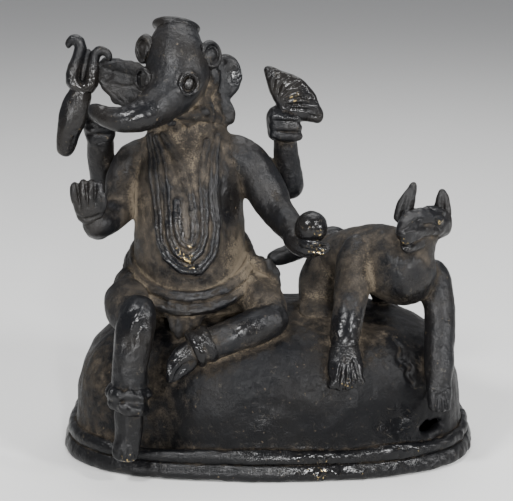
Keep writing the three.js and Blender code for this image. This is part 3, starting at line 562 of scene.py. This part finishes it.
# Soft mounds and hollows: piece, place in its box, radii, height
MOUNDS = [
    ("torso", (0.88, 0.3, 0.54), (3.2, 5, 6), -0.8), ("torso", (0.14, 0.2, 0.72), (3.4, 5, 4.5), 0.7),
    ("torso", (0.86, 0.2, 0.74), (3.6, 5, 4), 0.7), ("left_foot", (0.62, 0.1, 0.4), (2, 2.4, 2), -1.0),
    ("rat_head", (0.57, 0.16, 0.3), (0.9, 2, 0.9), -1.0),
    ("rat_head", (0.72, 0.2, 0.42), (1.6, 2, 1.6), -0.7), ("right_foot", (0.5, 0, 0.6), (1.2, 3, 5), 0.5),
    ("right_foot", (0.0, 0.3, 0.5), (1.6, 3, 4), -0.8), ("right_foot", (0.5, 0.1, 0.1), (3, 3, 2), 0.5),
    ("base_dome", (0.5, 0.06, 0.24), (6, 5, 5), 2.3), ("base_dome", (0.81, 0.08, 0.24), (7, 6, 5), 2.4),
    ("right_shin", (0.55, 0.2, 0.84), (2.2, 3, 2.6), 0.7),
    ("right_shin", (0.4, 0.2, 0.62), (2.2, 3, 2.6), -0.3),
    ("base_dome", (0.1, 0.2, 0.55), (10, 10, 11), 0.7), ("base_dome", (0.36, 0.02, 0.4), (11, 7, 10), 0.9),
    ("base_dome", (0.52, 0.02, 0.5), (7, 7, 9), -0.5), ("base_dome", (0.68, 0.02, 0.45), (11, 7, 9), 0.7),
    ("base_dome", (0.86, 0.1, 0.5), (5, 7, 8), -0.7), ("base_dome", (0.3, 1.0, 0.5), (12, 7, 9), 0.8),
    ("base_dome", (0.7, 0.98, 0.42), (14, 7, 10), -0.6), ("eye_left", (0.5, 0, 0.5), (1.0, 1.4, 1.0), 0.5),
    ("front_left_hand", (0.5, 0.1, 0.55), (1.6, 2, 1), 0.3),
]

for mark in MARKS:
    stroke(*mark)
# a groove round the ball of each eye and boss, whose radius is this share of the piece's width
BALL_GROOVE = 0.28
for node in ("eye_left", "eye_right", "temple_boss_left", "temple_boss_right"):
    ring = [(0.5 + BALL_GROOVE * math.cos(turn), 0.5 + BALL_GROOVE * math.sin(turn))
            for turn in np.linspace(0, 2 * math.pi, 13)]
    stroke(node, ring, 0.4, -0.65, 6, taper=False)
for node, place, radii, height in MOUNDS:
    dimple(node, place, radii, height)
for node in NODES:
    if node.startswith("necklace"):
        threads(node, off_the_belly, (0,), 17, -0.5)
    if node.startswith("waist"):
        threads(node, off_the_waist, (30,), 12, -0.3)

# the rim's right end is notched, as if a cord had been pressed into it
jitter = np.random.default_rng(21)
for node in ("base_rim_upper", "base_rim_lower"):
    low, high = in_mm(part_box(node))
    for turn in np.linspace(-1.3, -0.1, 19):
        turn += jitter.uniform(-0.03, 0.03)
        out = np.array([math.cos(turn), math.sin(turn), 0])
        ray = (low + high) / 2 + np.linspace(0, high[0] - low[0], 600)[:, None] * out
        edge = ray[np.flatnonzero(sample(nearest, ray) < 0)[-1]]
        radii = (0.55, 1.1, jitter.uniform(0.7, 1.4))
        dimple(node, (edge - low) / (high - low), radii, jitter.uniform(-1.1, -0.5))

# no mark goes far below the piece's own surface, so nothing thin is cut through
whole = np.minimum(whole, nearest + 1.0)

# the crack in the base goes deeper, and one lip of it stands up
CRACK = [(0.81, 0.9), (0.828, 0.84), (0.822, 0.79), (0.848, 0.74), (0.842, 0.69), (0.858, 0.63)]
stroke("base_dome", CRACK, 0.6, -2.0, 22)
stroke("base_dome", [(across + 0.013, up) for across, up in CRACK], 0.7, 0.35, 22)

# the casting hole has a torn edge
dimple("base_dome", (0.878, 0.2, 0.325), (1.3, 4, 1.0), 1.6)
dimple("base_dome", (0.925, 0.2, 0.245), (1.6, 4, 0.9), 1.6)
dimple("base_dome", (0.905, 0.2, 0.33), (0.8, 4, 0.8), 0.8)

lumps = blurred(by_owner(LUMPS), 0.8)
whole += lumps * (0.8 * noise(4.2, 11) + 0.6 * noise(1.9, 12))
whole += lumps * 0.5 * noise(1.0, 13, stretch=(1, 1, 1.8))
whole += (0.12 + 0.6 * np.minimum(lumps, 0.2)) * noise(10, 14)
whole += 0.04 * noise(0.75, 15)

# nothing reaches below the surface that the object stands on
above_table = np.arange(SHAPE[2]) * VOXEL + LOW[2] * VOXEL
whole = np.maximum(whole, -above_table[None, None, :].astype(np.float32))


# ---- what the surface has been through: crust in the hollows, wear on what stands out ----------------

solid = np.clip(0.5 - whole / VOXEL, 0, 1)
solid_sparse = solid
for axis in range(3):
    solid_sparse = spread(solid_sparse, axis, [1 / SPARSE] * SPARSE)
solid_sparse = solid_sparse[::SPARSE, ::SPARSE, ::SPARSE]
tight = blurred(solid, 0.9)
broad = blurred(solid_sparse, 3.0, VOXEL * SPARSE)
crusted = blurred(by_owner(CRUST)[::SPARSE, ::SPARSE, ::SPARSE], 2.2, VOXEL * SPARSE)
del solid, solid_sparse, lumps


# ---- cutting each piece out ---------------------------------------------------------------------------


def largest_bodies(points, faces, least):
    """Leaves out crumbs: bodies with fewer points than least."""
    label = np.arange(len(points))
    while True:
        low = label[faces].min(1)
        fresh = label.copy()
        for i in range(faces.shape[1]):
            np.minimum.at(fresh, faces[:, i], low)
        fresh = fresh[fresh]
        if (fresh == label).all():
            break
        label = fresh
    count = np.bincount(label, minlength=len(points))
    keep = count[label] >= max(least, 1)
    number = np.cumsum(keep) - 1
    return points[keep], number[faces[keep[faces[:, 0]]]]


def near_any(points, places):
    """How near each point is to any of the places, 0 to 1."""
    near = np.zeros(len(points))
    for node, place, radius in places:
        near = np.maximum(near, np.exp(-((points - spot(node, *place)) ** 2).sum(1) / radius**2))
    return near


def piece(node):
    """The visual piece that stands for a CAD node, with maps of what its surface has been through."""
    index = NODES.index(node)
    field = fields[node]
    here = field.within
    rival = np.where(owner[here] == index, second[here], nearest[here])
    values = np.maximum(whole[here], field.values - rival - OVERLAP)
    step = 2 if node in COARSE else 1
    values = np.ascontiguousarray(values[::step, ::step, ::step])
    grid = vdb.FloatGrid(BAND)
    grid.transform = vdb.createLinearTransform(VOXEL * step)
    grid.copyFromArray(values, ijk=tuple(int(s) // step for s in field.start))
    points, triangles, quads = grid.convertToPolygons(0.0, 0.0)
    faces = quads[:, ::-1].astype(np.int64)
    if len(triangles):
        faces = np.vstack([faces, np.column_stack([triangles[:, ::-1], triangles[:, 0]])])
    points, faces = largest_bodies(points, faces, CRUMB)
    mesh = bpy.data.meshes.new(f"cast_{node}")
    mesh.vertices.add(len(points))
    mesh.vertices.foreach_set("co", (points / MM).astype(np.float32).ravel())
    mesh.loops.add(faces.size)
    mesh.loops.foreach_set("vertex_index", faces.astype(np.int32).ravel())
    mesh.polygons.add(len(faces))
    mesh.polygons.foreach_set("loop_start", np.arange(0, faces.size, 4, dtype=np.int32))
    mesh.update(calc_edges=True)
    mesh.validate()
    mesh.shade_smooth()
    crust = sample(crusted, points, SPARSE)
    for other, place, radius, amount in DUST:
        crust += amount * np.exp(-((points - spot(other, *place)) ** 2).sum(1) / radius**2)
    maps = {"hollow": sample(tight, points) - 0.5, "shelter": sample(broad, points, SPARSE) - 0.5,
            "crust": crust, "rubbed": near_any(points, RUBBED), "polish": near_any(points, POLISH)}
    for name, values in maps.items():
        mesh.attributes.new(name, "FLOAT", "POINT").data.foreach_set("value", values.astype(np.float32))
    cast = bpy.data.objects.new(f"cast_{node}", mesh)
    bpy.context.scene.collection.objects.link(cast)
    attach(cast, "root")
    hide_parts(node)
    return cast


casts = {node: piece(node) for node in NODES}


# ---- material -----------------------------------------------------------------------------------------


class Nodes:
    """Short names for building a material's node tree."""

    def __init__(self, material):
        material.use_nodes = True
        self.tree = material.node_tree
        self.tree.nodes.clear()
        self.coordinates = self.add("ShaderNodeTexCoord").outputs["Object"]

    def add(self, kind, inputs=None, **settings):
        node = self.tree.nodes.new(kind)
        for key, value in settings.items():
            setattr(node, key, value)
        for key, value in (inputs or {}).items():
            self.link(value, node.inputs[key])
        return node

    def link(self, value, socket):
        if isinstance(value, bpy.types.NodeSocket):
            self.tree.links.new(value, socket)
        else:
            socket.default_value = value

    def attribute(self, name):
        return self.add("ShaderNodeAttribute", attribute_name=name).outputs["Fac"]

    def math(self, operation, a, b=0.0, clamp=False):
        return self.add("ShaderNodeMath", {0: a, 1: b}, operation=operation, use_clamp=clamp).outputs[0]

    def ramp(self, value, low, high, to_low=0.0, to_high=1.0):
        ends = {"Value": value, "From Min": low, "From Max": high, "To Min": to_low, "To Max": to_high}
        return self.add("ShaderNodeMapRange", ends, interpolation_type="SMOOTHSTEP").outputs["Result"]

    def mix(self, share, a, b):
        node = self.add("ShaderNodeMix", data_type="RGBA")
        self.link(share, node.inputs["Factor"])
        for value, socket in ((a, node.inputs[6]), (b, node.inputs[7])):
            self.link((*value, 1) if isinstance(value, tuple) else value, socket)
        return node.outputs[2]

    def noise(self, size_mm, detail=4.0, roughness=0.55, stretch=(1, 1, 1)):
        scale = [1 / s for s in stretch]
        place = self.add("ShaderNodeMapping", {"Vector": self.coordinates, "Scale": scale}).outputs[0]
        inputs = {"Vector": place, "Scale": MM / size_mm, "Detail": detail, "Roughness": roughness}
        return self.add("ShaderNodeTexNoise", inputs).outputs["Fac"]

    def cracks(self, size_mm):
        """How far each point is from the cracks between cells of about that size."""
        warp = self.add("ShaderNodeTexNoise", {"Vector": self.coordinates, "Scale": MM / 3, "Detail": 3.0})
        bend = {0: warp.outputs["Color"], "Scale": size_mm / MM}
        bent = self.add("ShaderNodeVectorMath", bend, operation="SCALE")
        place = self.add("ShaderNodeVectorMath", {0: self.coordinates, 1: bent.outputs[0]}, operation="ADD")
        return self.add("ShaderNodeTexVoronoi", {"Vector": place.outputs[0], "Scale": MM / size_mm},
                        feature="DISTANCE_TO_EDGE").outputs["Distance"]


BLUE_BLACK, BROWN_BLACK = (0.0033, 0.0036, 0.0046), (0.0090, 0.0080, 0.0073)
PALE_GRAIN, DARK_GRAIN = (0.012, 0.0115, 0.0115), (0.009, 0.0076, 0.0064)
# painted shade: the black that the colour is mixed towards down near the table
PAINTED_SHADE_BLACK = (0.0016, 0.0017, 0.0022)
DARK_EARTH, LIGHT_EARTH = (0.018, 0.0145, 0.0110), (0.046, 0.037, 0.0275)
TAN_DUST, SPECK, SCRATCH = (0.125, 0.101, 0.071), (0.11, 0.085, 0.055), (0.060, 0.053, 0.042)
BARE_METAL = (0.42, 0.31, 0.14)
SHADE_FULL_BELOW, SHADE_NONE_ABOVE = 0.015, 0.055  # painted shade: the surface is painted darker down near the table, where shade falls, heights in metres


def bronze(name, shine, ior=1.31):
    """Old dark bronze: black patina, painted darker near the table as shade, brown crust in the hollows, tan
    dust, and gold where it is rubbed.
    """
    material = bpy.data.materials.new(name)
    n = Nodes(material)
    hollow, shelter = n.attribute("hollow"), n.attribute("shelter")
    crust, rubbed_here, polish = n.attribute("crust"), n.attribute("rubbed"), n.attribute("polish")
    clouds, mottle = n.noise(13), n.noise(3.2, detail=8, roughness=0.65)
    grain, speck = n.noise(0.42, detail=5, roughness=0.7), n.noise(0.8, detail=2)

    def centred(value, strength):
        return n.math("MULTIPLY", n.math("SUBTRACT", value, 0.5), strength)

    # crust gathers where it is sheltered or low, in patches with grainy edges
    depth = n.math("ADD", n.math("MULTIPLY", hollow, 2.6), n.math("MULTIPLY", shelter, 2.4))
    depth = n.math("ADD", depth, n.math("ADD", centred(mottle, 1.4), centred(clouds, 0.7)))
    depth = n.math("ADD", n.math("ADD", depth, crust), centred(grain, 1.5))
    brown = n.ramp(depth, 0.12, 0.85)
    tan = n.ramp(n.math("ADD", depth, centred(grain, 1.6)), 0.95, 1.75)

    patina = n.mix(n.ramp(clouds, 0.35, 0.68), BLUE_BLACK, BROWN_BLACK)
    patina = n.mix(n.ramp(grain, 0.55, 0.8), patina, PALE_GRAIN)
    above_table = n.add("ShaderNodeSeparateXYZ", {0: n.coordinates}).outputs["Z"]
    # painted shade: low down near the table the colour is mixed towards black
    patina = n.mix(n.math("MULTIPLY", n.ramp(above_table, SHADE_NONE_ABOVE, SHADE_FULL_BELOW), 0.8), patina, PAINTED_SHADE_BLACK)
    earth = n.mix(n.ramp(mottle, 0.35, 0.7), DARK_EARTH, LIGHT_EARTH)
    earth = n.mix(n.ramp(grain, 0.52, 0.36, 0.0, 0.75), earth, DARK_GRAIN)
    colour = n.mix(brown, patina, earth)
    colour = n.mix(n.math("MULTIPLY", tan, 0.85), colour, TAN_DUST)
    colour = n.mix(n.ramp(n.noise(1.3, detail=3), 0.69, 0.75, 0.0, 0.6), colour, SPECK)
    scratched_here = n.ramp(n.noise(2.6, detail=2), 0.57, 0.66, 0.0, 0.6)
    colour = n.mix(n.math("MULTIPLY", n.ramp(n.cracks(3.4), 0.025, 0.0), scratched_here), colour, SCRATCH)
    fleck = n.ramp(n.math("ADD", n.math("MULTIPLY", rubbed_here, 0.27), speck), 0.80, 0.87)
    fleck = n.math("MULTIPLY", fleck, n.ramp(hollow, 0.05, -0.05))
    colour = n.mix(fleck, colour, BARE_METAL)

    rough = n.ramp(grain, 0.3, 0.75, shine, shine + 0.16)
    rough = n.math("ADD", rough, n.math("MULTIPLY", brown, 0.26))
    rough = n.math("ADD", rough, n.math("MULTIPLY", tan, 0.2), clamp=True)
    rough = n.math("MULTIPLY", rough, n.ramp(polish, 0.0, 1.0, 1.0, 0.48))

    # grainy where it is crusted, softly dented where it is smooth
    crackle = n.ramp(n.cracks(1.1), 0.0, 0.14)
    pits = n.ramp(n.noise(1.1, detail=3, roughness=0.6), 0.34, 0.5)
    brushed = n.noise(0.5, detail=3, stretch=(1.0, 1.0, 5.0))
    rubbed_down = n.ramp(polish, 0.0, 1.0, 1.0, 0.25)
    fine = n.math("ADD", n.math("MULTIPLY", brushed, 0.22), n.math("MULTIPLY", pits, 0.26))
    fine = n.math("ADD", fine, n.math("MULTIPLY", crackle, 0.06))
    fine = n.math("ADD", fine, n.math("MULTIPLY", grain, n.ramp(brown, 0.0, 1.0, 0.25, 1.7)))
    dents = n.math("MULTIPLY", n.noise(1.7, detail=2), 0.9)
    height = n.math("ADD", n.math("MULTIPLY", fine, rubbed_down), dents)
    bump = n.add("ShaderNodeBump", {"Height": height, "Distance": 0.00022, "Strength": 0.8})

    shader = n.add("ShaderNodeBsdfPrincipled", {"Base Color": colour, "Roughness": rough, "Metallic": fleck,
                   "Normal": bump.outputs[0]})
    shader.inputs["IOR"].default_value = ior
    output = n.add("ShaderNodeOutputMaterial")
    n.link(shader.outputs[0], output.inputs["Surface"])
    return material


finishes = {"bronze_dark": bronze("bronze_dark_patina", 0.34),
            "bronze_worn": bronze("bronze_worn_patina", 0.27),
            "bronze_crusted": bronze("bronze_crusted_patina", 0.42)}
base_finish = bronze("bronze_base_patina", 0.36, 1.22)  # an index low for patina, chosen to keep the base dark
for node, cast in casts.items():
    cast.data.materials.append(base_finish if node == "base_dome" else finishes[SLOTS[node]])


# ---- floor, light and camera ----------------------------------------------------------------------------


def plain(name, colour, roughness):
    material = bpy.data.materials.new(name)
    material.use_nodes = True
    shader = material.node_tree.nodes["Principled BSDF"]
    shader.inputs["Base Color"].default_value = (*colour, 1)
    shader.inputs["Roughness"].default_value = roughness
    return material


low, high = CAD_BOX
centre = (low + high) / 2
height = high.z - low.z

bpy.ops.mesh.primitive_plane_add(size=40 * height, location=(centre.x, centre.y, low.z))
floor = bpy.context.object
floor.name = "floor"
floor.data.materials.append(plain("floor_matt", (0.63, 0.63, 0.62), 0.6))


def softbox(name, azimuth, elevation, distance, size, power):
    """A square area light aimed at the object. Azimuth 0 is in front of it and 90 to the viewer's right, in
    degrees. Distance and size are in heights of the object."""
    data = bpy.data.lights.new(name, "AREA")
    data.energy, data.size = power, size * height
    lamp = bpy.data.objects.new(name, data)
    a, e = math.radians(azimuth), math.radians(elevation)
    away = Vector((math.sin(a) * math.cos(e), -math.cos(a) * math.cos(e), math.sin(e)))
    lamp.location = centre + away * distance * height
    lamp.rotation_euler = (-away).to_track_quat("-Z", "Y").to_euler()
    bpy.context.scene.collection.objects.link(lamp)


softbox("key_softbox", -38, 50, 4.5, 0.7, 3.7)
softbox("right_softbox", 48, 40, 4.5, 0.55, 2.5)
softbox("top_softbox", 170, 66, 4.5, 3.5, 3.6)
softbox("front_softbox", 10, 16, 5.0, 0.42, 3.7)
softbox("low_left_softbox", -22, 6, 5.0, 0.32, 1.6)
softbox("low_right_softbox", 64, 14, 5.0, 0.4, 2.3)

world = bpy.data.worlds.new("studio")
world.use_nodes = True
world.node_tree.nodes["Background"].inputs["Color"].default_value = (0.95, 0.96, 1.0, 1)
world.node_tree.nodes["Background"].inputs["Strength"].default_value = 0.36
bpy.context.scene.world = world

CAMERA_DISTANCE = 0.450
CAMERA_ELEVATION = math.radians(15)
AIM = Vector((centre.x, centre.y + 0.0019, low.z + 0.070))
camera_data = bpy.data.cameras.new("camera")
camera_data.lens = 102.6
camera_data.shift_x, camera_data.shift_y = -0.0234, -0.0548
camera = bpy.data.objects.new("camera", camera_data)
away = Vector((0, -math.cos(CAMERA_ELEVATION), math.sin(CAMERA_ELEVATION)))
camera.location = AIM + CAMERA_DISTANCE * away
camera.rotation_euler = (math.radians(90) - CAMERA_ELEVATION, 0, 0)
bpy.context.scene.collection.objects.link(camera)
bpy.context.scene.camera = camera
